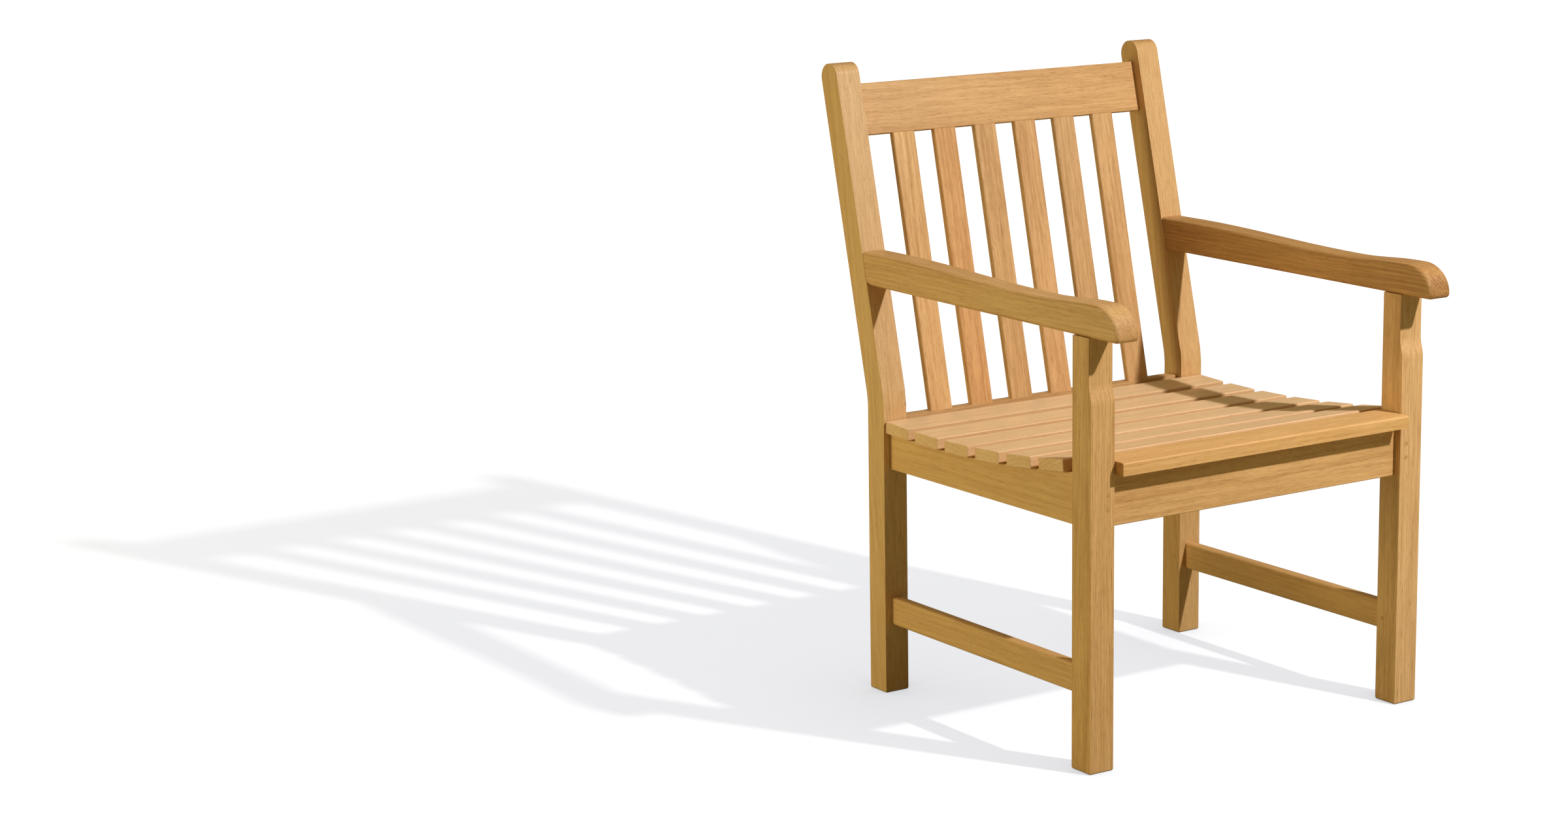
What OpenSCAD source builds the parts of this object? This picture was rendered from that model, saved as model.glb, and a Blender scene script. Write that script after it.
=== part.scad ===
// Garden armchair in solid hardwood, held together by mortise and tenon joints,
// wooden pegs and dowels. The origin is on the floor, under the middle of the chair.
// +Z is up, the sitter faces -Y, and left and right are those of someone in front of it.

/* [Overall] */
// Width over the outer faces of the legs
chair_w = 600; // [480:1:760]
// Height to the rounded tops of the back posts
chair_h = 920; // [760:1:1120]
// Depth over the feet, front legs to rear legs
foot_d = 521; // [430:1:640]
// Height of the front seat slat's top
seat_h = 430; // [350:1:520]
// Height of the arms' top where they meet the back posts
arm_h = 653; // [600:1:720]
// Lean of the back posts from upright, degrees
back_rake = 13.5; // [6:0.5:20]

/* [Legs and back posts] */
// Side of the square legs and posts, also the width of the arms
leg_w = 40; // [33:0.5:50]
// Height of the bend in the rear posts above the front seat slat
bend_rise = 11; // [4:1:40]
// Depth that the front leg's face is set back below the arm
leg_step = 5.5; // [2:0.5:10]
// Height of the slope that leads into that set-back
leg_step_h = 20; // [8:1:40]
// Distance from the arm's underside down to that slope
leg_step_drop = 67; // [30:1:100]

/* [Rails] */
// Height of the front and rear seat rails
rail_h = 74; // [60:1:90]
// Thickness of all seat rails
rail_t = 18; // [15:0.5:22]
// Height of the top rail of the back
crest_h = 76; // [55:1:100]
// Thickness of the top rail of the back
crest_t = 16; // [15:0.5:20]
// Distance of the top rail behind the front face of the posts
crest_setback = 14.5; // [8:0.5:17]
// Distance of the top rail below the tops of the posts, along them
crest_drop = 33; // [25:1:60]

/* [Stretchers] */
// Height of the side stretchers
stretcher_h = 41.5; // [32:0.5:60]
// Thickness of the side stretchers
stretcher_t = 17; // [14:0.5:22]
// Height of the stretchers' lower edge above the floor
stretcher_z = 103; // [60:1:200]

/* [Seat] */
// Thickness of the seat slats
seat_slat_t = 18; // [14:0.5:22]
// Gap between the seat slats
seat_slat_gap = 17.3; // [8:0.1:22]
// Distance of the seat slats' ends inside the legs' outer faces
seat_slat_inset = 2.5; // [0:0.5:10]
// Clearance between the rear seat slat and the back posts
rear_slat_gap = 0.5; // [0.2:0.1:5]
// Depth of the front seat slat
front_slat_w = 58; // [50:1:80]
// Reach of the front seat slat past the front of the legs
front_slat_nose = 17; // [8:1:35]
// Radius of the front seat slat's upper front edge
front_slat_round = 3; // [2:0.5:12]
// Clearance between the front seat slat and each front leg
front_slat_end_gap = 1.5; // [0.5:0.1:4]
// Gap between the front seat slat and the slat behind it
front_slat_back_gap = 21; // [10:0.5:30]
// Radius of the seat's dished curve
dish_r = 2200; // [1600:50:4000]
// Distance of the lowest point of the seat in front of the back posts
dish_back = 121; // [60:1:180]

/* [Back slats] */
// Width of the back slats
back_slat_w = 40; // [28:0.5:44]
// Thickness of the back slats
back_slat_t = 10; // [9:0.5:14]
// Distance between the middles of neighbouring back slats
back_slat_pitch = 74.5; // [62:0.5:75]
// Distance of the back slats in front of the middle of their rails
back_slat_ahead = 3; // [0:0.5:3]

/* [Arms] */
// Thickness of the arms at the back posts
arm_t = 48; // [40:1:56]
// Fall of the arms' underside from the back posts to the front of the legs
arm_fall = 5; // [0:0.5:12]
// Depth of the dip in the arms' top
arm_dip = 11.2; // [4:0.1:14]
// Rise from that dip to the hump over the front leg
arm_hump = 4.4; // [0:0.1:10]
// Reach of the arms past the front of the legs
arm_nose = 52; // [30:0.5:80]
// Radius of the nose's lower edge
arm_nose_round = 6; // [3:0.5:10]

/* [Joints] */
// Thickness of the rails' tenons
tenon_t = 10; // [8:0.5:12]
// Thickness of the stretchers' tenons
stretcher_tenon_t = 8; // [6:0.5:10]
// Shoulder above and below each tenon
tenon_shoulder = 5; // [3:0.5:8]
// Length of the stretchers' and the crest rail's tenons
tenon_len = 24; // [16:1:28]
// Thickness of the tenons at the ends of the back slats
slat_tenon_t = 7; // [5:0.5:8]
// Length of those tenons
slat_tenon_len = 12; // [8:1:20]
// Width of the tenons between arms, posts and front legs
arm_tenon_w = 16; // [12:1:20]
// Height of the arm's tenon in the back post
arm_tenon_h = 26; // [18:1:32]
// Length of the arm's tenon in the post and of the leg's tenon in the arm
arm_tenon_len = 22; // [14:1:26]
// Gap between the mitred ends of two tenons that meet in a leg
mitre_gap = 1; // [0.5:0.5:3]
// Clearance on each side of a tenon
tenon_fit = 0.15; // [0.05:0.05:0.4]
// Diameter of the pegs that lock the tenons
peg_d = 6; // [4:0.5:8]
// Height between the two pegs of a tall rail
peg_pitch = 20; // [14:1:30]
// Diameter of the dowels that hold the seat slats
dowel_d = 8; // [6:0.5:10]
// Depth of a dowel in its rail
dowel_rail_depth = 18; // [10:1:24]
// Wood left above a dowel in its slat
dowel_cover = 6; // [4:0.5:8]
// Distance of the outer front slat dowels from the legs' inner faces
dowel_end = 60; // [20:1:100]
// Clearance on the diameter of pegs and dowels
peg_fit = 0.1; // [0.05:0.05:0.3]

/* [Hidden] */
$fn = 48;

// Timber colours: each board is a little lighter or darker than its neighbours
post_tan = "#d2a468";
rail_tan = "#cf9d5d";
board_tan = "#d9ab6f";
slat_tan = "#dfb67f";
arm_tan = "#d8aa6c";
peg_tan = "#b98550";

// Counts
back_slats = 6;
seat_slats = 6;
// Wood left below the side rails' pegs in their tenons
peg_cover = 4;
// Overcut that carries a cut clear of a face, and points in each curve of the arm
over = 1;
curve_steps = 24;
// Corner of the dish cylinder's facets, fine enough for so large a radius
dish_fn = 1440;

// Lines of the frame, measured from the front of the front legs (y) and the middle (x)
leg_in = chair_w / 2 - leg_w;
leg_cx = chair_w / 2 - leg_w / 2;
front_cy = leg_w / 2;
rear_cy = foot_d - leg_w / 2;
post_y = foot_d - leg_w;
bend_z = seat_h + bend_rise;
rail_top = seat_h - seat_slat_t;
rail_bot = rail_top - rail_h;
peg_in = leg_w / 2 - tenon_t / 2 - peg_d / 2 - 1;

// Raked frame of the posts: n is the depth behind their front face, a the length above the bend
function rake_pt(n, a) = [
    post_y + n * cos(back_rake) + a * sin(back_rake),
    bend_z - n * sin(back_rake) + a * cos(back_rake)];
function post_front(z) = post_y + (z - bend_z) * tan(back_rake);
post_round_a = (chair_h - leg_w / 2 - bend_z + leg_w / 2 * sin(back_rake)) / cos(back_rake);
crest_a1 = post_round_a + leg_w / 2 - crest_drop;
crest_a0 = crest_a1 - crest_h;
crest_n = crest_setback + crest_t / 2;

// Middle of the whole chair from the arms' noses to the back of the posts' round tops
post_reach = rake_pt(leg_w / 2, post_round_a)[0] + leg_w / 2;
mid_y = (post_reach - arm_nose) / 2;

// Dished top of the side rails: an arc that meets the front rail's top at the front legs
dish_y = post_y - dish_back;
dish_z = rail_top - dish_r + sqrt(dish_r * dish_r - (dish_y - leg_w) * (dish_y - leg_w));
function dish(y) = dish_z + dish_r - sqrt(dish_r * dish_r - (y - dish_y) * (y - dish_y));

// Seat slats fill the run from the front slat to the posts with equal gaps
seat_run_y0 = front_slat_w - front_slat_nose + front_slat_back_gap;
seat_run = post_y - rear_slat_gap - seat_run_y0;
seat_slat_w = (seat_run - (seat_slats - 1) * seat_slat_gap) / seat_slats;
function seat_slat_y(i) = seat_run_y0 + seat_slat_w / 2 + i * (seat_slat_w + seat_slat_gap);
function seat_slat_z(i) =
    (dish(seat_slat_y(i) - seat_slat_w / 2) + dish(seat_slat_y(i) + seat_slat_w / 2)) / 2;
function seat_slat_tilt(i) = atan2(
    dish(seat_slat_y(i) + seat_slat_w / 2) - dish(seat_slat_y(i) - seat_slat_w / 2), seat_slat_w);

// Back slats run straight from the rear rail to the crest rail, a little ahead of their middles
slat_foot = [rear_cy - back_slat_ahead, rail_top - slat_tenon_len / 2];
slat_head = rake_pt(crest_n - back_slat_ahead, crest_a0 + slat_tenon_len / 2);
slat_lean = atan2(slat_head[0] - slat_foot[0], slat_head[1] - slat_foot[1]);
slat_len = norm(slat_head - slat_foot) + slat_tenon_len;

// Arm outline: straight underside, top that runs flat from the post, dips and humps, elliptical nose
arm_under_z = arm_h - arm_t;
arm_back_y = post_front(arm_under_z);
function arm_under(y) = arm_under_z - arm_fall * (1 - y / arm_back_y);
function ease(t) = (1 - cos(180 * t)) / 2;
arm_dip_y = 115;
arm_hump_y = 10;
arm_flat = 44;
arm_fall_y = post_front(arm_h) - arm_flat;
arm_nose_y = -5;
arm_dip_z = arm_h - arm_dip;
arm_hump_z = arm_dip_z + arm_hump;
arm_low_z = arm_under(arm_nose_round - arm_nose);
arm_nose_z = arm_low_z + arm_nose_round;
arm_outline = concat(
    [[arm_back_y, arm_under_z], [post_front(arm_h), arm_h]],
    [for (i = [0 : curve_steps]) let (t = i / curve_steps)
        [arm_fall_y + (arm_dip_y - arm_fall_y) * t, arm_h - arm_dip * ease(t)]],
    [for (i = [1 : curve_steps / 3]) let (t = i * 3 / curve_steps)
        [arm_dip_y + (arm_hump_y - arm_dip_y) * t, arm_dip_z + arm_hump * ease(t)]],
    [for (i = [0 : curve_steps / 2]) let (t = 180 * i / curve_steps)
        [arm_nose_y - (arm_nose + arm_nose_y) * sin(t),
         arm_nose_z + (arm_hump_z - arm_nose_z) * cos(t)]],
    [for (i = [1 : 4]) let (t = 90 * i / 4)
        [arm_nose_round - arm_nose - arm_nose_round * cos(t), arm_nose_z - arm_nose_round * sin(t)]]);

// Extrudes a side view (y, z) across the chair from x
module side_board(x, w) {
    translate([x, 0, 0]) rotate([90, 0, 90]) linear_extrude(w) children();
}

// Extrudes a plan (x, y) upwards from z
module plan_board(z, h) {
    translate([0, 0, z]) linear_extrude(h) children();
}

// Places its children in the raked frame of the posts
module on_rake() {
    translate([0, post_y, bend_z]) rotate([-back_rake, 0, 0]) children();
}

// Draws its children for the right side, or mirrored for the left
module on_side(side) {
    mirror([side < 0 ? 1 : 0, 0, 0]) children();
}

// Moves the chair so that its middle is over the origin
module centred() {
    translate([0, -mid_y, 0]) children();
}

// A peg along +X from the point, or its hole when gap is given
module peg_x(at, len, gap = 0) {
    translate(at) rotate([0, 90, 0]) cylinder(d = peg_d + gap, h = len);
}

// A peg along +Y from the point, or its hole when gap is given
module peg_y(at, len, gap = 0) {
    translate(at) rotate([-90, 0, 0]) cylinder(d = peg_d + gap, h = len);
}

// Tenon of the front or rear rail in a right leg, mitred against the side rail's tenon.
// dir is 1 at a front leg and -1 at a rear one; gap widens it into its mortise.
module cross_tenon(cy, dir, gap = 0) {
    half = tenon_t / 2;
    end = leg_cx - mitre_gap + gap;
    plan_board(rail_bot + tenon_shoulder - gap, rail_h - 2 * tenon_shoulder + 2 * gap)
        polygon([
            [leg_in - over, cy - dir * (half + gap)], [end + half, cy - dir * (half + gap)],
            [end - half, cy + dir * (half + gap)], [leg_in - over, cy + dir * (half + gap)]]);
}

// Tenon of a side rail in a right leg, mitred against the cross rail's tenon
module side_tenon(cy, dir, gap = 0) {
    half = tenon_t / 2;
    end = cy + dir * (mitre_gap - gap);
    root = cy + dir * (leg_w / 2 + over);
    plan_board(rail_bot + tenon_shoulder - gap, dish_z - rail_bot - 2 * tenon_shoulder + 2 * gap)
        polygon([
            [leg_cx - half - gap, root], [leg_cx - half - gap, end + dir * half],
            [leg_cx + half + gap, end - dir * half], [leg_cx + half + gap, root]]);
}

// Tenon of a right stretcher in a leg
module stretcher_tenon(cy, dir, gap = 0) {
    y0 = cy + dir * (leg_w / 2 + over);
    y1 = cy + dir * (leg_w / 2 - tenon_len - gap);
    w = stretcher_tenon_t + 2 * gap;
    h = stretcher_h - 2 * tenon_shoulder + 2 * gap;
    translate([leg_cx - w / 2, min(y0, y1), stretcher_z + tenon_shoulder - gap])
        cube([w, abs(y1 - y0), h]);
}

// Tenon of the crest rail in a right post
module crest_tenon(gap = 0) {
    on_rake() translate([leg_in - over, crest_n - tenon_t / 2 - gap, crest_a0 + tenon_shoulder - gap])
        cube([over + tenon_len + gap, tenon_t + 2 * gap, crest_h - 2 * tenon_shoulder + 2 * gap]);
}

// Tenon of a right arm in a post
module arm_tenon(gap = 0) {
    mid_z = arm_h - arm_t / 2;
    y0 = post_front(mid_z - arm_tenon_h / 2) - arm_tenon_w;
    y1 = post_front(mid_z) + arm_tenon_len + gap;
    translate([leg_cx - arm_tenon_w / 2 - gap, y0, mid_z - arm_tenon_h / 2 - gap])
        cube([arm_tenon_w + 2 * gap, y1 - y0, arm_tenon_h + 2 * gap]);
}

// Tenon on top of a right front leg, in the arm
module leg_tenon(gap = 0) {
    y0 = leg_step + tenon_shoulder;
    y1 = leg_w - tenon_shoulder;
    z0 = arm_under(0) - over;
    z1 = arm_under(leg_w / 2) + arm_tenon_len + gap;
    translate([leg_cx - arm_tenon_w / 2 - gap, y0 - gap, z0])
        cube([arm_tenon_w + 2 * gap, y1 - y0 + 2 * gap, z1 - z0]);
}

// Pegs through the two tenons of a front or rear rail, from the leg's outer face at face_y
module cross_pegs(face_y, dir, gap = 0) {
    len = leg_w / 2 + tenon_t / 2;
    for (side = [-1, 1], k = [-1, 1])
        peg_y([side * (leg_in + peg_in), dir > 0 ? face_y : face_y - len,
            rail_top - rail_h / 2 + k * peg_pitch / 2], len, gap);
}

// Pegs through both tenons of one right-hand rail or stretcher, from the legs' inner faces
module long_pegs(z, gap = 0) {
    for (y = [leg_w - peg_in, post_y + peg_in])
        peg_x([leg_in, y, z], leg_w / 2 + tenon_t / 2, gap);
}

side_peg_z = rail_bot + tenon_shoulder + peg_d + peg_cover;
stretcher_peg_z = stretcher_z + stretcher_h / 2;

// Pegs through the crest rail's tenons, from the backs of the posts
module crest_pegs(gap = 0) {
    len = leg_w - crest_n + tenon_t / 2;
    for (side = [-1, 1], k = [-1, 1])
        on_rake() peg_y([side * (leg_in + peg_in), leg_w - len,
            crest_a0 + crest_h / 2 + k * peg_pitch / 2], len, gap);
}

// A dowel across the joint between slat i and the right side rail
module seat_dowel(i, gap = 0) {
    translate([leg_cx, seat_slat_y(i), seat_slat_z(i)]) rotate([seat_slat_tilt(i), 0, 0])
        translate([0, 0, -dowel_rail_depth - gap])
            cylinder(d = dowel_d + gap, h = dowel_rail_depth + seat_slat_t - dowel_cover + 2 * gap);
}

// Dowels between the front rail and the front seat slat
module front_dowels(gap = 0) {
    for (x = [-(leg_in - dowel_end), 0, leg_in - dowel_end])
        translate([x, front_cy, rail_top - dowel_rail_depth - gap])
            cylinder(d = dowel_d + gap, h = dowel_rail_depth + seat_slat_t - dowel_cover + 2 * gap);
}

// Right rear leg and back post, cut from one plank with a bend above the seat
module rear_post(side) {
    color(post_tan) on_side(side) difference() {
        side_board(leg_in, leg_w) {
            polygon([
                [post_y, 0], [foot_d, 0], [foot_d, bend_z - leg_w * tan(back_rake / 2)],
                rake_pt(leg_w, post_round_a), rake_pt(0, post_round_a), [post_y, bend_z]]);
            translate(rake_pt(leg_w / 2, post_round_a)) circle(d = leg_w, $fn = 96);
        }
        cross_tenon(rear_cy, -1, tenon_fit);
        side_tenon(rear_cy, -1, tenon_fit);
        stretcher_tenon(rear_cy, -1, tenon_fit);
        crest_tenon(tenon_fit);
        arm_tenon(tenon_fit);
        cross_pegs(foot_d, -1, peg_fit);
        long_pegs(side_peg_z, peg_fit);
        long_pegs(stretcher_peg_z, peg_fit);
        crest_pegs(peg_fit);
    }
}

// Right front leg, thinner below the arm and tenoned up into it
module front_leg(side) {
    slope_top = arm_under(0) - leg_step_drop;
    color(post_tan) on_side(side) difference() {
        union() {
            side_board(leg_in, leg_w) polygon([
                [0, 0], [leg_w, 0], [leg_w, arm_under(leg_w)], [leg_step, arm_under(leg_step)],
                [leg_step, slope_top], [0, slope_top - leg_step_h]]);
            leg_tenon();
        }
        cross_tenon(front_cy, 1, tenon_fit);
        side_tenon(front_cy, 1, tenon_fit);
        stretcher_tenon(front_cy, 1, tenon_fit);
        cross_pegs(0, 1, peg_fit);
        long_pegs(side_peg_z, peg_fit);
        long_pegs(stretcher_peg_z, peg_fit);
    }
}

// Front seat rail under the front slat
module front_rail() {
    color(rail_tan) difference() {
        union() {
            translate([-leg_in, front_cy - rail_t / 2, rail_bot]) cube([2 * leg_in, rail_t, rail_h]);
            for (side = [-1, 1]) on_side(side) cross_tenon(front_cy, 1);
        }
        cross_pegs(0, 1, peg_fit);
        front_dowels(peg_fit);
    }
}

// Rear seat rail, which also carries the feet of the back slats
module rear_rail() {
    color(rail_tan) difference() {
        union() {
            translate([-leg_in, rear_cy - rail_t / 2, rail_bot]) cube([2 * leg_in, rail_t, rail_h]);
            for (side = [-1, 1]) on_side(side) cross_tenon(rear_cy, -1);
        }
        cross_pegs(foot_d, -1, peg_fit);
        for (i = [0 : back_slats - 1]) back_slat_bar(i, slat_tenon_t, tenon_fit);
    }
}

// Side seat rail with its dished top
module side_rail(side) {
    color(rail_tan) on_side(side) difference() {
        union() {
            side_board(leg_cx - rail_t / 2, rail_t) difference() {
                translate([leg_w, rail_bot]) square([post_y - leg_w, rail_h + 4 * over]);
                translate([dish_y, dish_z + dish_r]) circle(r = dish_r, $fn = dish_fn);
            }
            side_tenon(front_cy, 1);
            side_tenon(rear_cy, -1);
        }
        long_pegs(side_peg_z, peg_fit);
        for (i = [0 : seat_slats - 1]) seat_dowel(i, peg_fit);
    }
}

// Stretcher between a front and a rear leg
module stretcher(side) {
    color(rail_tan) on_side(side) difference() {
        union() {
            translate([leg_cx - stretcher_t / 2, leg_w, stretcher_z])
                cube([stretcher_t, post_y - leg_w, stretcher_h]);
            stretcher_tenon(front_cy, 1);
            stretcher_tenon(rear_cy, -1);
        }
        long_pegs(stretcher_peg_z, peg_fit);
    }
}

// Top rail of the back, with a mortise for each slat
module crest_rail() {
    color(board_tan) difference() {
        union() {
            on_rake() translate([-leg_in, crest_setback, crest_a0]) cube([2 * leg_in, crest_t, crest_h]);
            for (side = [-1, 1]) on_side(side) crest_tenon();
        }
        crest_pegs(peg_fit);
        for (i = [0 : back_slats - 1]) back_slat_bar(i, slat_tenon_t, tenon_fit);
    }
}

// Straight bar of back slat i from the depth of one mortise to that of the other
module back_slat_bar(i, t, gap = 0) {
    w = back_slat_w - (t < back_slat_t ? 2 * (back_slat_t - t) : 0) + 2 * gap;
    x = (i - (back_slats - 1) / 2) * back_slat_pitch;
    translate([x, slat_foot[0], slat_foot[1]]) rotate([-slat_lean, 0, 0])
        translate([-w / 2, -t / 2 - gap, -slat_tenon_len / 2 - gap])
            cube([w, t + 2 * gap, slat_len + 2 * gap]);
}

// Back slat: its full section stops on the rails, its tenons go on into them
module back_slat(i) {
    color(slat_tan) union() {
        difference() {
            back_slat_bar(i, back_slat_t);
            translate([-leg_in, rear_cy - leg_w, rail_top - leg_w]) cube([2 * leg_in, 2 * leg_w, leg_w]);
            on_rake() translate([-leg_in, -leg_w, crest_a0]) cube([2 * leg_in, 3 * leg_w, leg_w]);
        }
        back_slat_bar(i, slat_tenon_t);
    }
}

// Arm: butted and tenoned into the back post, resting on the front leg
module arm(side) {
    color(arm_tan) on_side(side) difference() {
        union() {
            side_board(leg_in, leg_w) polygon(arm_outline);
            arm_tenon();
        }
        leg_tenon(tenon_fit);
    }
}

// Seat slat i, flat on the dished side rails
module seat_slat(i) {
    len = chair_w - 2 * seat_slat_inset;
    color(slat_tan) difference() {
        translate([-len / 2, seat_slat_y(i), seat_slat_z(i)]) rotate([seat_slat_tilt(i), 0, 0])
            translate([0, -seat_slat_w / 2, 0]) cube([len, seat_slat_w, seat_slat_t]);
        for (side = [-1, 1]) on_side(side) seat_dowel(i, peg_fit);
    }
}

// Front seat slat between the front legs, with a rounded nose
module front_seat_slat() {
    half = leg_in - front_slat_end_gap;
    r = front_slat_round;
    color(slat_tan) difference() {
        side_board(-half, 2 * half) {
            translate([r - front_slat_nose, rail_top]) square([front_slat_w - r, seat_slat_t]);
            translate([-front_slat_nose, rail_top]) square([front_slat_w, seat_slat_t - r]);
            translate([r - front_slat_nose, seat_h - r]) circle(r = r);
        }
        front_dowels(peg_fit);
    }
}

centred() rear_post(-1);  // rear_post_left
centred() rear_post(1);  // rear_post_right
centred() front_leg(-1);  // front_leg_left
centred() front_leg(1);  // front_leg_right
centred() front_rail();
centred() rear_rail();
centred() side_rail(-1);  // side_rail_left
centred() side_rail(1);  // side_rail_right
centred() stretcher(-1);  // stretcher_left
centred() stretcher(1);  // stretcher_right
centred() crest_rail();
centred() back_slat(0);  // back_slat_1
centred() back_slat(1);  // back_slat_2
centred() back_slat(2);  // back_slat_3
centred() back_slat(3);  // back_slat_4
centred() back_slat(4);  // back_slat_5
centred() back_slat(5);  // back_slat_6
centred() arm(-1);  // arm_left
centred() arm(1);  // arm_right
centred() seat_slat(0);  // seat_slat_1
centred() seat_slat(1);  // seat_slat_2
centred() seat_slat(2);  // seat_slat_3
centred() seat_slat(3);  // seat_slat_4
centred() seat_slat(4);  // seat_slat_5
centred() seat_slat(5);  // seat_slat_6
centred() front_seat_slat();
centred() color(peg_tan) cross_pegs(0, 1);  // front_rail_pegs
centred() color(peg_tan) cross_pegs(foot_d, -1);  // rear_rail_pegs
centred() color(peg_tan) for (side = [-1, 1]) on_side(side) long_pegs(side_peg_z);  // side_rail_pegs
centred() color(peg_tan) for (side = [-1, 1]) on_side(side) long_pegs(stretcher_peg_z);  // stretcher_pegs
centred() color(peg_tan) crest_pegs();  // crest_rail_pegs
centred() color(peg_tan) for (side = [-1, 1], i = [0 : seat_slats - 1]) on_side(side) seat_dowel(i);  // seat_slat_dowels
centred() color(peg_tan) front_dowels();  // front_slat_dowels
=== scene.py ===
# Garden armchair in solid, satin-oiled hardwood.
import math
import bmesh
import bpy
from mathutils import Matrix, Vector


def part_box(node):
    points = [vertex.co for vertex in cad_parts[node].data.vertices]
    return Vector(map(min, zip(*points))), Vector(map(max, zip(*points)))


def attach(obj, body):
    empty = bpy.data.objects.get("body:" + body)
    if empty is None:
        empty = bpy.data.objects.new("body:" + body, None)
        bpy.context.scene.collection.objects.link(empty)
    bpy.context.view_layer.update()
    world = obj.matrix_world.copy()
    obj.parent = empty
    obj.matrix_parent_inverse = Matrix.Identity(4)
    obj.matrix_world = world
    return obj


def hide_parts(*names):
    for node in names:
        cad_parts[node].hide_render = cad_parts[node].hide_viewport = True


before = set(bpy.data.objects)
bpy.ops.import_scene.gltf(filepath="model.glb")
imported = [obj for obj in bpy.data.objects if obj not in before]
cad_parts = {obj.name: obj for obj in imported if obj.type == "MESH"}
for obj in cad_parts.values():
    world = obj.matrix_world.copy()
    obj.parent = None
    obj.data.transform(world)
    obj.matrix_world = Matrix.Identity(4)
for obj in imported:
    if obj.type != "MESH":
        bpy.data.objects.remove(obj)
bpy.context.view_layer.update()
leg_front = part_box("front_leg_left")[0].y

# ---------------------------------------------------------------------------
# Camera, floor and studio light
# The chair stands on a pale floor, seen from its left and a little above. One small,
# high light in front throws the crisp shadows, and a wide warm one fills in the left.
# ---------------------------------------------------------------------------
camera_data = bpy.data.cameras.new("camera")
camera_data.sensor_fit = "HORIZONTAL"
camera_data.sensor_width = 36.0
camera_data.lens = 72.72
camera_data.clip_end = 200.0
camera = bpy.data.objects.new("camera", camera_data)
bpy.context.scene.collection.objects.link(camera)
camera.matrix_world = Matrix((
    (0.83780, 0.12117, -0.53237, -2.8668),
    (-0.54575, 0.15758, -0.82301, leg_front - 3.2211),
    (-0.01582, 0.98006, 0.19814, 1.3449),
    (0.0, 0.0, 0.0, 1.0)))
bpy.context.scene.camera = camera
bpy.context.scene.view_settings.view_transform = "Standard"


def new_nodes(tree, *kinds):
    return [tree.nodes.new("ShaderNode" + kind) for kind in kinds]


def set_inputs(node, **values):
    """Sets a node's inputs by name, with _ for each space."""
    for name, value in values.items():
        node.inputs[name.replace("_", " ")].default_value = value


def wire(tree, *pairs):
    """Links each output to the input it is paired with."""
    for given, taker in pairs:
        tree.links.new(given, taker)


def emptied(owner):
    """Turns on an owner's node tree and clears it."""
    owner.use_nodes = True
    owner.node_tree.nodes.clear()
    return owner.node_tree


# The camera sees a white room, but what lights the chair is dim and warm at the
# horizon and brighter overhead.
world = bpy.data.worlds.new("studio")
bpy.context.scene.world = world
tree = emptied(world)
out, mix, seen, fill, path, where, part, rise, blend = new_nodes(
    tree, "OutputWorld", "MixShader", "Background", "Background", "LightPath", "TexCoord",
    "SeparateXYZ", "MapRange", "Mix")
horizon, overhead = (0.07, 0.057, 0.016, 1.0), (0.40, 0.35, 0.22, 1.0)
blend.data_type = "RGBA"
set_inputs(seen, Color=(1.0, 1.0, 1.0, 1.0))
set_inputs(blend, A=horizon, B=overhead)
wire(
    tree, (where.outputs["Generated"], part.inputs[0]), (part.outputs["Z"], rise.inputs["Value"]),
    (rise.outputs["Result"], blend.inputs["Factor"]),
    (blend.outputs["Result"], fill.inputs["Color"]),
    (path.outputs["Is Camera Ray"], mix.inputs["Fac"]), (fill.outputs[0], mix.inputs[1]),
    (seen.outputs[0], mix.inputs[2]), (mix.outputs[0], out.inputs["Surface"]))

# To the camera the floor glows and adds what the high light throws on it, because its shading
# leans to that light; round the chair's feet its glow is dimmed as painted contact shade. To
# the chair it is a plain warm surface.
floor_reach = 60.0
bm = bmesh.new()
bmesh.ops.create_grid(bm, x_segments=1, y_segments=1, size=floor_reach)
floor_mesh = bpy.data.meshes.new("floor")
bm.to_mesh(floor_mesh)
bm.free()
floor = bpy.data.objects.new("floor", floor_mesh)
bpy.context.scene.collection.objects.link(floor)
paper = bpy.data.materials.new("floor paper")
tree = emptied(paper)
out, mix, add, glow, seen, bounce, path, where, far, fade, tilt, catch, painted_contact_shade, dim, shaded = new_nodes(
    tree, "OutputMaterial", "MixShader", "AddShader", "Emission", "BsdfDiffuse", "BsdfDiffuse",
    "LightPath", "TexCoord", "VectorMath", "MapRange", "CombineXYZ", "MapRange",
    "AmbientOcclusion", "Math", "MapRange")
far.operation = "LENGTH"
dim.operation = "MULTIPLY"
# An ambient-occlusion node dims the glow round and under the chair: painted contact shade.
painted_contact_shade.samples = 8
set_inputs(painted_contact_shade, Distance=0.25)
set_inputs(shaded, To_Min=0.62)
set_inputs(catch, From_Min=0.3, From_Max=2.6, To_Min=0.30, To_Max=0.50)
set_inputs(fade, From_Min=2.4, From_Max=4.0, To_Min=0.79, To_Max=1.02)
set_inputs(glow, Color=(1.0, 1.015, 1.06, 1.0))
set_inputs(tilt, X=0.33, Y=-0.79, Z=0.52)
set_inputs(bounce, Color=(0.33, 0.32, 0.18, 1.0))
wire(
    tree, (where.outputs["Object"], far.inputs[0]), (far.outputs["Value"], fade.inputs["Value"]),
    (far.outputs["Value"], catch.inputs["Value"]), (catch.outputs["Result"], seen.inputs["Color"]),
    (painted_contact_shade.outputs["AO"], shaded.inputs["Value"]), (fade.outputs["Result"], dim.inputs[0]),
    (shaded.outputs["Result"], dim.inputs[1]), (dim.outputs[0], glow.inputs["Strength"]),
    (tilt.outputs[0], seen.inputs["Normal"]), (glow.outputs[0], add.inputs[0]),
    (seen.outputs[0], add.inputs[1]), (path.outputs["Is Camera Ray"], mix.inputs["Fac"]),
    (bounce.outputs[0], mix.inputs[1]), (add.outputs[0], mix.inputs[2]),
    (mix.outputs[0], out.inputs["Surface"]))
floor_mesh.materials.append(paper)

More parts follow.
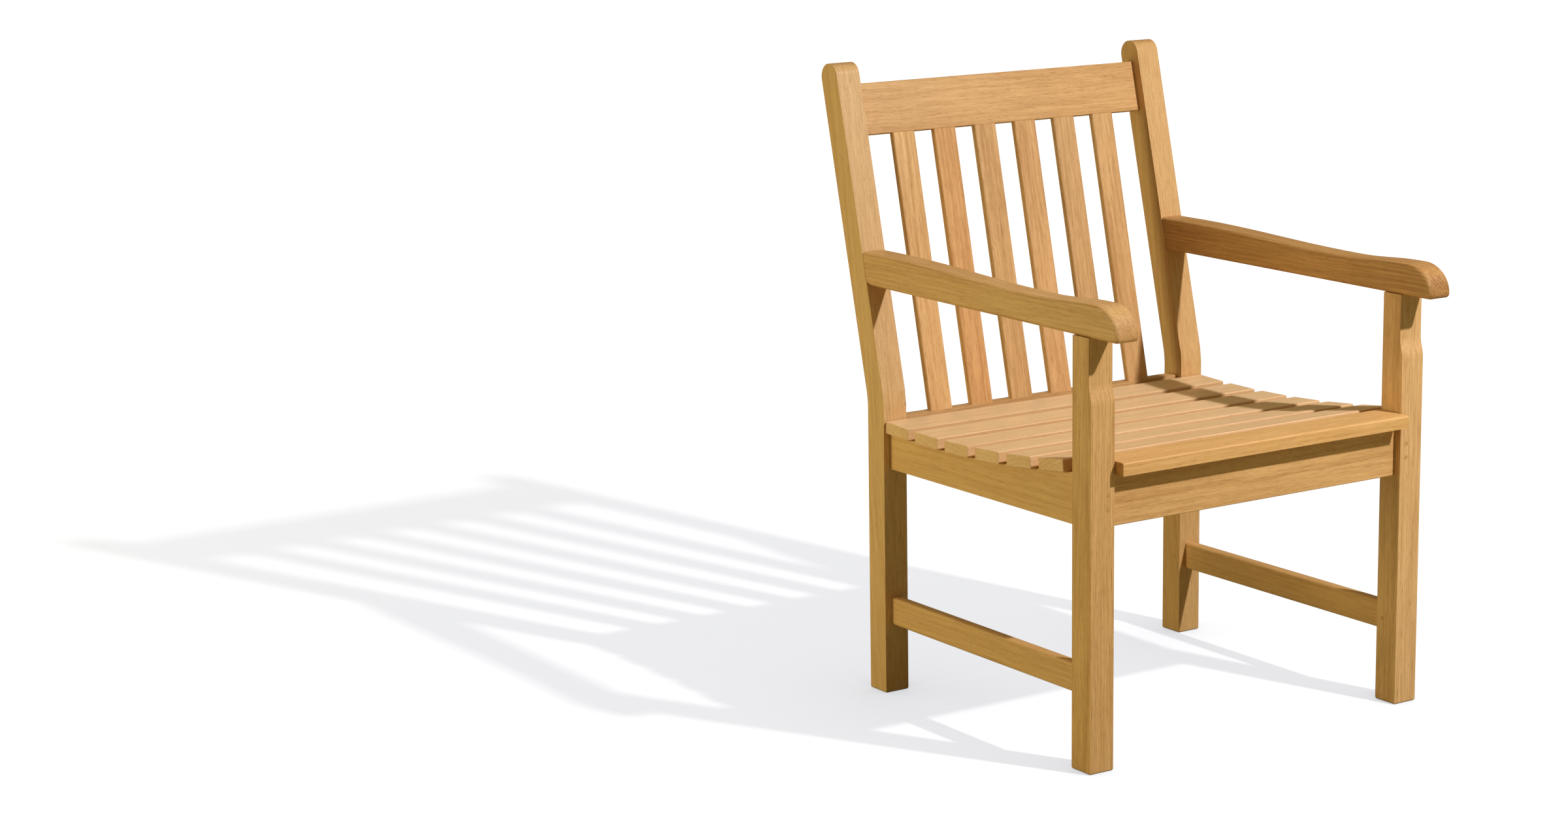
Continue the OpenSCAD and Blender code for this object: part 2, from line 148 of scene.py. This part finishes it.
lamp_data = bpy.data.lights.new("high light", "POINT")
lamp_data.shadow_soft_size = 0.06
lamp_data.energy = 452.0
lamp_data.color = (1.0, 0.985, 0.97)
lamp = bpy.data.objects.new("high light", lamp_data)
lamp.location = (0.970, leg_front - 2.285, 2.678)
bpy.context.scene.collection.objects.link(lamp)

soft_data = bpy.data.lights.new("soft light", "AREA")
soft_data.shape = "RECTANGLE"
soft_data.size, soft_data.size_y = 1.0, 1.0
soft_data.energy = 26.5
soft_data.color = (1.0, 0.91, 0.52)
soft = bpy.data.objects.new("soft light", soft_data)
soft_at, seat_middle = Vector((-2.4, 0.85, 0.65)), Vector((0.0, 0.0, 0.45))
soft.matrix_world = Matrix.Translation(soft_at) @ (
    soft_at - seat_middle).to_track_quat("Z", "Y").to_matrix().to_4x4()
bpy.context.scene.collection.objects.link(soft)

# ---------------------------------------------------------------------------
# Rear legs
# Each rear leg and back post is one piece sawn from a wide plank, bent above
# the seat and rounded at the top, with its corners taken off and then sanded.
# ---------------------------------------------------------------------------


def maths(tree, job, first, second=None, third=None):
    """A maths node on values or sockets."""
    node = tree.nodes.new("ShaderNodeMath")
    node.operation = job
    for i, given in enumerate((first, second, third)):
        if isinstance(given, bpy.types.NodeSocket):
            tree.links.new(given, node.inputs[i])
        elif given is not None:
            node.inputs[i].default_value = given
    return node.outputs[0]


def stretched(tree, at, stretch, seed, detail, rough=0.6):
    """Noise drawn out along the grain: stretch is its count per metre along and across."""
    scaled = tree.nodes.new("ShaderNodeVectorMath")
    scaled.operation = "MULTIPLY"
    scaled.inputs[1].default_value = (stretch[0], stretch[1], stretch[1])
    noise = tree.nodes.new("ShaderNodeTexNoise")
    noise.noise_dimensions = "4D"
    noise.inputs["Scale"].default_value = 1.0
    noise.inputs["Detail"].default_value = detail
    noise.inputs["Roughness"].default_value = rough
    tree.links.new(at, scaled.inputs[0])
    tree.links.new(scaled.outputs[0], noise.inputs["Vector"])
    tree.links.new(seed, noise.inputs["W"])
    return noise


def levels(tree, value, low, high):
    """Spreads the span low to high over 0 to 1 and clips the rest."""
    node = tree.nodes.new("ShaderNodeMapRange")
    node.interpolation_type = "SMOOTHSTEP"
    tree.links.new(value, node.inputs["Value"])
    node.inputs["From Min"].default_value = low
    node.inputs["From Max"].default_value = high
    return node.outputs["Result"]


# The wood itself, solid through each board: growth rings round a pith, fibres drawn
# out along X, pores cut lengthwise as short dark dashes, and darker end grain.
grain = bpy.data.node_groups.new("wood grain", "ShaderNodeTree")
for way, sockets in (
        ("INPUT", (
            ("Vector", "Vector"), ("Facing", "Vector"), ("Seed", "Float"), ("Pale", "Color"),
            ("Dark", "Color"), ("Pith", "Vector"), ("Ring Width", "Float"),
            ("Ring Depth", "Float"), ("Fibre Depth", "Float"), ("Waviness", "Float"),
            ("Pore Depth", "Float"), ("Edge Depth", "Float"))),
        ("OUTPUT", (("Color", "Color"), ("Roughness", "Float"), ("Height", "Float")))):
    for name, kind in sockets:
        grain.interface.new_socket(name=name, in_out=way, socket_type="NodeSocket" + kind)
tree = grain
enter, leave = tree.nodes.new("NodeGroupInput"), tree.nodes.new("NodeGroupOutput")
seed = enter.outputs["Seed"]

# Slow sway of the grain across the board
sway = stretched(tree, enter.outputs["Vector"], (9.0, 22.0), seed, 2.0, 0.5)
centre, width, swayed = new_nodes(tree, "VectorMath", "VectorMath", "VectorMath")
centre.operation, width.operation, swayed.operation = "SUBTRACT", "SCALE", "ADD"
centre.inputs[1].default_value = (0.5, 0.5, 0.5)
wire(
    tree, (sway.outputs["Color"], centre.inputs[0]), (centre.outputs[0], width.inputs[0]),
    (enter.outputs["Waviness"], width.inputs["Scale"]),
    (enter.outputs["Vector"], swayed.inputs[0]), (width.outputs[0], swayed.inputs[1]))
at = swayed.outputs[0]

# Growth rings: a soft rise to a narrow dark line, each ring of its own strength. Along
# the board they bend much less than across it.
away, flat, far = new_nodes(tree, "VectorMath", "VectorMath", "VectorMath")
away.operation, flat.operation, far.operation = "SUBTRACT", "MULTIPLY", "LENGTH"
flat.inputs[1].default_value = (0.035, 1.0, 1.0)
wire(
    tree, (at, away.inputs[0]), (enter.outputs["Pith"], away.inputs[1]),
    (away.outputs[0], flat.inputs[0]), (flat.outputs[0], far.inputs[0]))
turns = maths(tree, "DIVIDE", far.outputs["Value"], enter.outputs["Ring Width"])
part = maths(tree, "FRACT", turns)
ring = maths(tree, "MULTIPLY", levels(tree, part, 0.25, 0.9), levels(tree, part, 1.0, 0.9))
strength = tree.nodes.new("ShaderNodeTexWhiteNoise")
strength.noise_dimensions = "2D"
pair = tree.nodes.new("ShaderNodeCombineXYZ")
wire(
    tree, (maths(tree, "FLOOR", turns), pair.inputs[0]), (seed, pair.inputs[1]),
    (pair.outputs[0], strength.inputs["Vector"]))
strong = maths(tree, "MULTIPLY_ADD", strength.outputs["Value"], 0.7, 0.3)
ring = maths(tree, "MULTIPLY", ring, strong)

# Fibres: broad drifts of tone, streaks, hair-fine lines, and pores
drift = levels(tree, stretched(tree, at, (2.5, 17.0), seed, 1.0).outputs["Fac"], 0.3, 0.7)
streak = levels(tree, stretched(tree, at, (9.0, 300.0), seed, 3.0).outputs["Fac"], 0.36, 0.64)
hair = levels(tree, stretched(tree, at, (30.0, 1500.0), seed, 2.0).outputs["Fac"], 0.3, 0.7)
fibre = maths(tree, "MULTIPLY_ADD", streak, 0.55, maths(tree, "MULTIPLY", drift, 0.3))
fibre = maths(tree, "MULTIPLY_ADD", hair, 0.25, fibre)
tone = maths(tree, "MULTIPLY", fibre, enter.outputs["Fibre Depth"])
tone = maths(tree, "MULTIPLY_ADD", ring, enter.outputs["Ring Depth"], tone)
pore = levels(tree, stretched(tree, at, (60.0, 2200.0), seed, 0.0).outputs["Fac"], 0.60, 0.74)
pore = maths(tree, "MULTIPLY", pore, enter.outputs["Pore Depth"])

# End grain, where a face looks along the grain, drinks more oil and is darker. Faces
# across Y can be darkened too, as painted shade for the shade between seat slats.
ends, = new_nodes(tree, "SeparateXYZ")
wire(tree, (enter.outputs["Facing"], ends.inputs[0]))
end = levels(tree, maths(tree, "ABSOLUTE", ends.outputs["X"]), 0.6, 0.95)
tone = maths(tree, "MULTIPLY_ADD", end, 0.42, tone)
edge = levels(tree, maths(tree, "ABSOLUTE", ends.outputs["Y"]), 0.5, 0.9)
tone = maths(tree, "MULTIPLY_ADD", edge, enter.outputs["Edge Depth"], tone)

# What the group gives: the tone between pale and dark with the pores burnt in, a
# satin surface that is duller where it is darker, and a faint relief
shade, pitted = new_nodes(tree, "Mix", "Mix")
shade.data_type = pitted.data_type = "RGBA"
pitted.blend_type = "MULTIPLY"
pitted.inputs["B"].default_value = (0.62, 0.50, 0.36, 1.0)
rough = maths(tree, "MULTIPLY_ADD", tone, 0.14, 0.40)
rough = maths(tree, "MULTIPLY_ADD", pore, 0.15, rough)
rough = maths(tree, "MULTIPLY_ADD", end, 0.12, rough)
height = maths(tree, "MULTIPLY", hair, 0.25)
height = maths(tree, "MULTIPLY_ADD", streak, 0.35, height)
height = maths(tree, "SUBTRACT", height, pore)
wire(
    tree, (maths(tree, "MINIMUM", tone, 1.0), shade.inputs["Factor"]),
    (enter.outputs["Pale"], shade.inputs["A"]), (enter.outputs["Dark"], shade.inputs["B"]),
    (pore, pitted.inputs["Factor"]), (shade.outputs["Result"], pitted.inputs["A"]),
    (pitted.outputs["Result"], leave.inputs["Color"]), (rough, leave.inputs["Roughness"]),
    (height, leave.inputs["Height"]))


def rgb(red, green, blue):
    """A screen colour, 0 to 255, as the linear colour that a shader takes."""
    def linear(c):
        c /= 255.0
        return c / 12.92 if c <= 0.04045 else ((c + 0.055) / 1.055) ** 2.4
    return (linear(red), linear(green), linear(blue), 1.0)


def timber(name, turn, middle, seed, pale, dark, pith=(0.0, 0.12, 0.05), ring_width=0.004,
           ring_depth=0.3, fibre_depth=0.5, waviness=0.003, pore_depth=0.5, painted_shade_depth=0.0):
    """A board's own material: the grain group laid along it, from its middle."""
    stuff = bpy.data.materials.new(name)
    tree = emptied(stuff)
    out, wood, place, face, where, bump = new_nodes(
        tree, "OutputMaterial", "BsdfPrincipled", "Mapping", "Mapping", "TexCoord", "Bump")
    cut = tree.nodes.new("ShaderNodeGroup")
    cut.node_tree = grain
    rotation = turn.to_euler()
    place.inputs["Rotation"].default_value = rotation
    place.inputs["Location"].default_value = -(turn @ Vector(middle))
    face.inputs["Rotation"].default_value = rotation
    set_inputs(
        cut, Seed=seed, Pale=pale, Dark=dark, Pith=pith, Ring_Width=ring_width,
        Ring_Depth=ring_depth, Fibre_Depth=fibre_depth, Waviness=waviness,
        Pore_Depth=pore_depth, Edge_Depth=painted_shade_depth)
    set_inputs(bump, Strength=0.12, Distance=0.0006)
    set_inputs(wood, IOR=1.45, Specular_IOR_Level=0.42)
    wire(
        tree, (where.outputs["Object"], place.inputs["Vector"]),
        (where.outputs["Normal"], face.inputs["Vector"]), (place.outputs[0], cut.inputs["Vector"]),
        (face.outputs[0], cut.inputs["Facing"]), (cut.outputs["Color"], wood.inputs["Base Color"]),
        (cut.outputs["Roughness"], wood.inputs["Roughness"]),
        (cut.outputs["Height"], bump.inputs["Height"]), (bump.outputs[0], wood.inputs["Normal"]),
        (wood.outputs[0], out.inputs["Surface"]))
    return stuff


def span(face, axis):
    """How far a face reaches along an axis."""
    reach = [v.co[axis] for v in face.verts]
    return max(reach) - min(reach)


def wide(face, width):
    """Says whether a face reaches across a board of this width."""
    return span(face, 0) > width - 0.001


def merged(node):
    """A copy of a node's solid with its corners joined and its flat faces made whole."""
    bm = bmesh.new()
    bm.from_mesh(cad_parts[node].data)
    bmesh.ops.remove_doubles(bm, verts=bm.verts, dist=1e-5)
    bmesh.ops.dissolve_limit(
        bm, angle_limit=math.radians(0.4), use_dissolve_boundaries=False,
        verts=bm.verts, edges=bm.edges)
    bm.normal_update()
    return bm


def eased(bm, radius, pick, segments=3, least=30.0):
    """Rounds the edges that pick accepts and that turn by at least so many degrees."""
    chosen = [
        e for e in bm.edges
        if len(e.link_faces) == 2 and math.degrees(e.calc_face_angle()) > least and pick(e)]
    bmesh.ops.bevel(
        bm, geom=chosen, offset=radius, offset_type="OFFSET", affect="EDGES", segments=segments,
        profile=0.5, material=-1, clamp_overlap=True)
    bm.normal_update()


def board(bm, node, stuff):
    """Makes the finished piece that stands for a node."""
    for f in bm.faces:
        f.smooth = True
    for e in bm.edges:
        e.smooth = len(e.link_faces) == 2 and math.degrees(e.calc_face_angle()) < 32.0
    mesh = bpy.data.meshes.new(node + "_timber")
    bm.to_mesh(mesh)
    bm.free()
    mesh.materials.append(stuff)
    piece = bpy.data.objects.new(node + "_timber", mesh)
    bpy.context.scene.collection.objects.link(piece)
    evened = piece.modifiers.new("even faces", "WEIGHTED_NORMAL")
    evened.keep_sharp = True
    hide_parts(node)
    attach(piece, "root")


def middle(node):
    """The middle of a node's box."""
    low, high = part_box(node)
    return (low + high) / 2


def corner(width):
    """Accepts the long corners of a board of this width across X, and the rims of its ends."""
    def pick(e):
        one, two = e.link_faces
        if abs(one.normal.x) > 0.9 and abs(two.normal.x) > 0.9:
            return False
        if abs(two.normal.x) > 0.9:
            one, two = two, one
        return e.is_convex and wide(two, width) and (
            abs(one.normal.x) > 0.9 or wide(one, width))
    return pick


def long_corner(e):
    """Accepts the corners that run along a board."""
    return e.is_convex and e.calc_length() > 0.3


def sole_rim(e):
    """Accepts the edges round the sole of a leg."""
    return max(v.co.z for v in e.verts) < 0.0005


leg_size = 0.040
leg_ease, foot_ease, bend_ease = 0.0015, 0.003, 0.012
bend_z = 0.441
rake = math.radians(13.5)
upright = Matrix.Rotation(math.radians(90), 3, "Y")
along = upright @ Matrix.Rotation(rake / 2, 3, "X")

for node, seed, pale, dark in (
        ("rear_post_left", 11.3, rgb(223, 182, 129), rgb(184, 140, 86)),
        ("rear_post_right", 24.9, rgb(222, 179, 124), rgb(184, 138, 82))):
    bm = merged(node)
    eased(bm, bend_ease, lambda e: all(wide(f, leg_size) for f in e.link_faces)
          and abs(e.verts[0].co.z - bend_z) < bend_ease, segments=5, least=10.0)
    eased(bm, foot_ease, sole_rim)
    eased(bm, leg_ease, corner(leg_size))
    board(bm, node, timber(node + " wood", along, middle(node), seed, pale, dark,
                           pith=(0.0, 0.03, 0.16), ring_width=0.0048, ring_depth=0.22,
                           fibre_depth=0.55, waviness=0.0035))

# ---------------------------------------------------------------------------
# Front legs
# Square legs, thinner below the arm where a cutter has taken the front face back
# in a soft step. The tenon on top goes up into the arm.
# ---------------------------------------------------------------------------
step_low, step_high, tenon_low = 0.5, 0.56, 0.59
take_off = corner(leg_size)
for node, seed, pale, dark in (
        ("front_leg_left", 37.1, rgb(223, 178, 120), rgb(180, 131, 74)),
        ("front_leg_right", 41.7, rgb(233, 190, 136), rgb(193, 146, 93))):
    bm = merged(node)
    eased(bm, 0.005, lambda e: all(wide(f, leg_size) for f in e.link_faces)
          and step_low < e.verts[0].co.z < step_high, segments=4, least=10.0)
    eased(bm, foot_ease, sole_rim)
    eased(bm, leg_ease, lambda e: take_off(e) and min(v.co.z for v in e.verts) < tenon_low)
    board(bm, node, timber(node + " wood", upright, middle(node), seed, pale, dark,
                           pith=(0.0, 0.01, -0.09), ring_width=0.0042, ring_depth=0.3,
                           fibre_depth=0.75, waviness=0.006, pore_depth=0.7))

# ---------------------------------------------------------------------------
# Front and rear seat rails
# Planed boards on edge between the legs, tenoned into them and pegged. The rear
# one also carries the feet of the back slats.
# ---------------------------------------------------------------------------
level = Matrix.Identity(3)
for node, seed, pale, dark in (
        ("front_rail", 52.3, rgb(227, 180, 121), rgb(185, 136, 81)),
        ("rear_rail", 58.8, rgb(222, 178, 124), rgb(184, 136, 84))):
    bm = merged(node)
    eased(bm, 0.002, long_corner)
    board(bm, node, timber(node + " wood", level, middle(node), seed, pale, dark,
                           pith=(0.0, 0.07, 0.02), ring_width=0.006, ring_depth=0.25,
                           fibre_depth=0.65, waviness=0.006, pore_depth=0.7))

# ---------------------------------------------------------------------------
# Side seat rails
# Boards on edge with a hollow sawn in the top, on which the seat slats lie. Their
# mitred tenons meet those of the front and rear rails inside the legs.
# ---------------------------------------------------------------------------
rail_corner = corner(0.018)
endwise = Matrix.Rotation(math.radians(-90), 3, "Z")
for node, seed, pale, dark in (
        ("side_rail_left", 63.4, rgb(226, 182, 122), rgb(188, 140, 84)),
        ("side_rail_right", 69.2, rgb(222, 176, 118), rgb(184, 134, 80))):
    bm = merged(node)
    eased(bm, 0.002, lambda e: rail_corner(e) and sum(span(f, 1) for f in e.link_faces) > 0.2)
    board(bm, node, timber(node + " wood", endwise, middle(node), seed, pale, dark,
                           pith=(0.0, 0.09, 0.03), ring_width=0.005, ring_depth=0.2,
                           fibre_depth=0.55, waviness=0.004))

# ---------------------------------------------------------------------------
# Stretchers
# One low rail on each side, between the front and rear legs, tenoned and pegged.
# ---------------------------------------------------------------------------
for node, seed, pale, dark in (
        ("stretcher_left", 71.9, rgb(226, 182, 124), rgb(188, 140, 86)),
        ("stretcher_right", 78.6, rgb(222, 178, 120), rgb(184, 136, 82))):
    bm = merged(node)
    eased(bm, 0.004, long_corner)
    board(bm, node, timber(node + " wood", endwise, middle(node), seed, pale, dark,
                           pith=(0.0, 0.08, 0.05), ring_width=0.0045, ring_depth=0.22,
                           fibre_depth=0.6, waviness=0.004))

# ---------------------------------------------------------------------------
# Crest rail
# The top board of the back, set back between the posts, with wavy figure. The
# back slats are tenoned into its lower edge.
# ---------------------------------------------------------------------------
bm = merged("crest_rail")
eased(bm, 0.0022, long_corner)
board(bm, "crest_rail", timber(
    "crest_rail wood", Matrix.Rotation(rake, 3, "X"), middle("crest_rail"), 83.5,
    rgb(222, 176, 120), rgb(174, 124, 66), pith=(0.0, 0.045, -0.01), ring_width=0.0055,
    ring_depth=0.18, fibre_depth=0.6, waviness=0.009, pore_depth=0.7))

# ---------------------------------------------------------------------------
# Back slats
# Six thin upright slats with well rounded edges, each from a different plank, so
# they differ a little in tone and figure.
# ---------------------------------------------------------------------------
along = upright @ Matrix.Rotation(math.radians(12.9), 3, "X")
for i, (pale, dark) in enumerate((
        (rgb(235, 191, 133), rgb(191, 141, 83)), (rgb(226, 176, 118), rgb(184, 128, 70)),
        (rgb(222, 178, 124), rgb(178, 130, 76)), (rgb(226, 180, 126), rgb(184, 134, 80)),
        (rgb(218, 174, 122), rgb(174, 128, 76)), (rgb(226, 182, 128), rgb(184, 134, 80)))):
    node = "back_slat_%d" % (i + 1)
    bm = merged(node)
    eased(bm, 0.003, long_corner)
    board(bm, node, timber(node + " wood", along, middle(node), 90.0 + 7.3 * i, pale, dark,
                           pith=(0.0, 0.05 + 0.02 * i, 0.01 * (i - 2)), ring_width=0.004,
                           ring_depth=0.25, fibre_depth=0.8, waviness=0.007, pore_depth=0.8))

# ---------------------------------------------------------------------------
# Arms
# Thick arms shaped with a dip and a hump, rounded over all round and butted and
# tenoned into the back posts. They rest on the front legs.
# ---------------------------------------------------------------------------


def on_butt(e):
    """Says whether an edge lies round the rear end of an arm or of its tenon."""
    return any(f.normal.y > 0.9 for f in e.link_faces)


# The right arm's much darker tones are painted shade, for the shade on its inner side.
for node, seed, pale, dark in (
        ("arm_left", 141.2, rgb(224, 180, 124), rgb(180, 132, 78)),
        ("arm_right", 148.9, rgb(211, 163, 105), rgb(148, 99, 48))):
    bm = merged(node)
    eased(bm, 0.0055, lambda e: take_off(e) and not on_butt(e), segments=4)
    eased(bm, 0.001, lambda e: e.is_convex and any(
        f.normal.y > 0.9 and wide(f, leg_size) for f in e.link_faces), segments=2)
    board(bm, node, timber(node + " wood", endwise, middle(node), seed, pale, dark,
                           pith=(0.0, 0.06, -0.05), ring_width=0.005, ring_depth=0.25,
                           fibre_depth=0.6, waviness=0.005, pore_depth=0.6))

# ---------------------------------------------------------------------------
# Seat slats
# Six paler, smoothly sanded slats that follow the hollow of the side rails, held
# from below by blind dowels. Their ends show end grain.
# ---------------------------------------------------------------------------
for i, (pale, dark) in enumerate((
        (rgb(245, 209, 165), rgb(213, 168, 120)), (rgb(245, 210, 166), rgb(213, 169, 122)),
        (rgb(248, 214, 170), rgb(217, 173, 126)), (rgb(247, 212, 168), rgb(216, 172, 125)),
        (rgb(248, 213, 169), rgb(217, 173, 126)), (rgb(246, 211, 167), rgb(215, 171, 124)))):
    node = "seat_slat_%d" % (i + 1)
    bm = merged(node)
    eased(bm, 0.002, lambda e: e.is_convex and e.calc_length() > 0.01)
    # The slats' front and back faces are darkened as painted shade, for the shade in the gaps between
    # them.
    board(bm, node, timber(node + " wood", level, middle(node), 160.0 + 9.1 * i, pale, dark,
                           pith=(0.0, 0.02 * (i - 2), -0.08 - 0.015 * i), ring_width=0.006,
                           ring_depth=0.22, fibre_depth=0.46, waviness=0.005, pore_depth=0.45,
                           painted_shade_depth=0.6))

# ---------------------------------------------------------------------------
# Front seat slat
# It fits between the front legs on top of the front rail and stands out in front
# of them, with lightly eased edges.
# ---------------------------------------------------------------------------
bm = merged("front_seat_slat")
eased(bm, 0.0016, lambda e: e.is_convex and (
    e.calc_length() > 0.3 or any(abs(f.normal.x) > 0.9 for f in e.link_faces)))
# Its front face is a little darkened as painted shade.
board(bm, "front_seat_slat", timber(
    "front_seat_slat wood", level, middle("front_seat_slat"), 221.6, rgb(239, 192, 130),
    rgb(198, 145, 82), pith=(0.0, 0.05, -0.06), ring_width=0.0055, ring_depth=0.25,
    fibre_depth=0.55, waviness=0.005, pore_depth=0.55, painted_shade_depth=0.2))

# ---------------------------------------------------------------------------
# Pegs and dowels
# Turned wooden pegs lock the tenons, trimmed flush with the legs, and blind dowels
# hold the seat slats. The pegs' ends show end grain inside a fine eased rim.
# ---------------------------------------------------------------------------
peg_turns = {
    "front_rail_pegs": endwise, "rear_rail_pegs": endwise, "side_rail_pegs": level,
    "stretcher_pegs": level, "crest_rail_pegs": endwise, "seat_slat_dowels": upright,
    "front_slat_dowels": upright}
for i, (node, turn) in enumerate(peg_turns.items()):
    stuff = timber(node + " wood", turn, middle(node), 300.0 + 5.0 * i, rgb(222, 174, 116),
                   rgb(184, 136, 80), ring_depth=0.2, fibre_depth=0.5, pore_depth=0.8)
    if "dowels" in node:
        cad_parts[node].data.materials.clear()
        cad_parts[node].data.materials.append(stuff)
    else:
        bm = merged(node)
        eased(bm, 0.0004, lambda e: e.is_convex, segments=2, least=60.0)
        board(bm, node, stuff)
